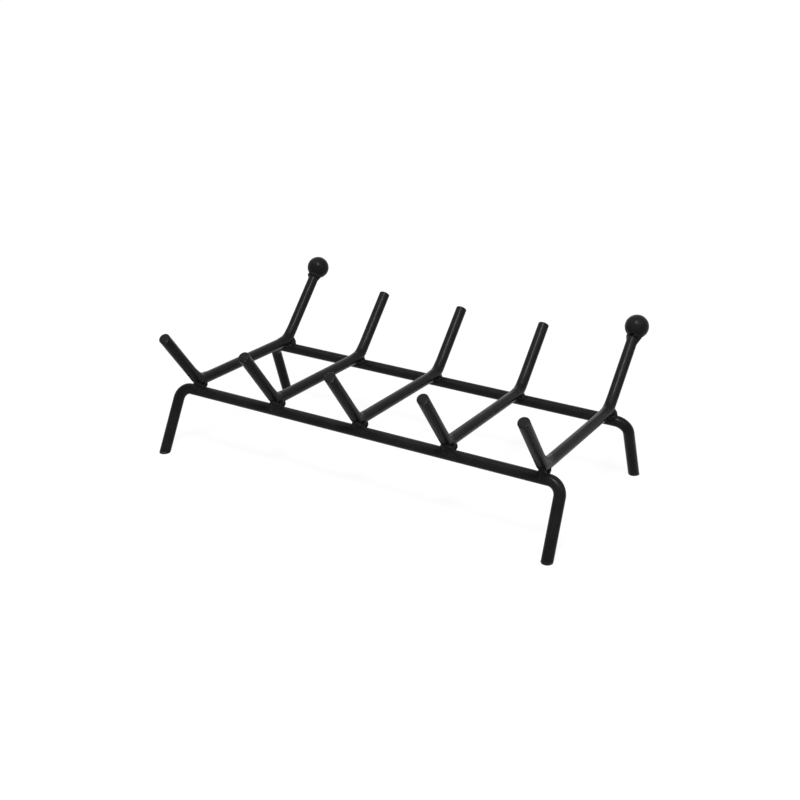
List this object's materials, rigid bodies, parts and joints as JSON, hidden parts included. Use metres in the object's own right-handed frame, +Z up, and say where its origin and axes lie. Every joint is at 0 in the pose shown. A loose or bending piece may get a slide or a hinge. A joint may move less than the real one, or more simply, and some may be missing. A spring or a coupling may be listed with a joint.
{
  "type": "log holder",
  "caption": "Fireplace log holder: bent round bars lie across a pair of legged rails, their ends turned up to cradle the logs; balls top the rear corners.",
  "frame": {"origin": "on the floor, at the middle of the whole object's width and depth", "axes": "+X along the rails to the right, seen from the front; +Y from the front to the rear, where the balls are; +Z up"},
  "size_m": [0.4708, 0.3052, 0.1678],
  "materials": {
    "bar_paint": "satin black heat-proof paint over hot-rolled round bar",
    "ball_paint": "satin black heat-proof paint over smooth steel balls",
    "weld_paint": "black heat-proof paint over rippled weld beads"
  },
  "bodies": {
    "root": {"rail_front": "bar_paint", "rail_rear": "bar_paint", "grate_bar_1": "bar_paint", "grate_bar_2": "bar_paint", "grate_bar_3": "bar_paint", "grate_bar_4": "bar_paint", "grate_bar_5": "bar_paint", "finial_left": "ball_paint", "finial_right": "ball_paint", "weld_front_1": "weld_paint", "weld_front_2": "weld_paint", "weld_front_3": "weld_paint", "weld_front_4": "weld_paint", "weld_front_5": "weld_paint", "weld_rear_1": "weld_paint", "weld_rear_2": "weld_paint", "weld_rear_3": "weld_paint", "weld_rear_4": "weld_paint", "weld_rear_5": "weld_paint", "finial_weld_left": "weld_paint", "finial_weld_right": "weld_paint"}
  },
  "joints": []
}
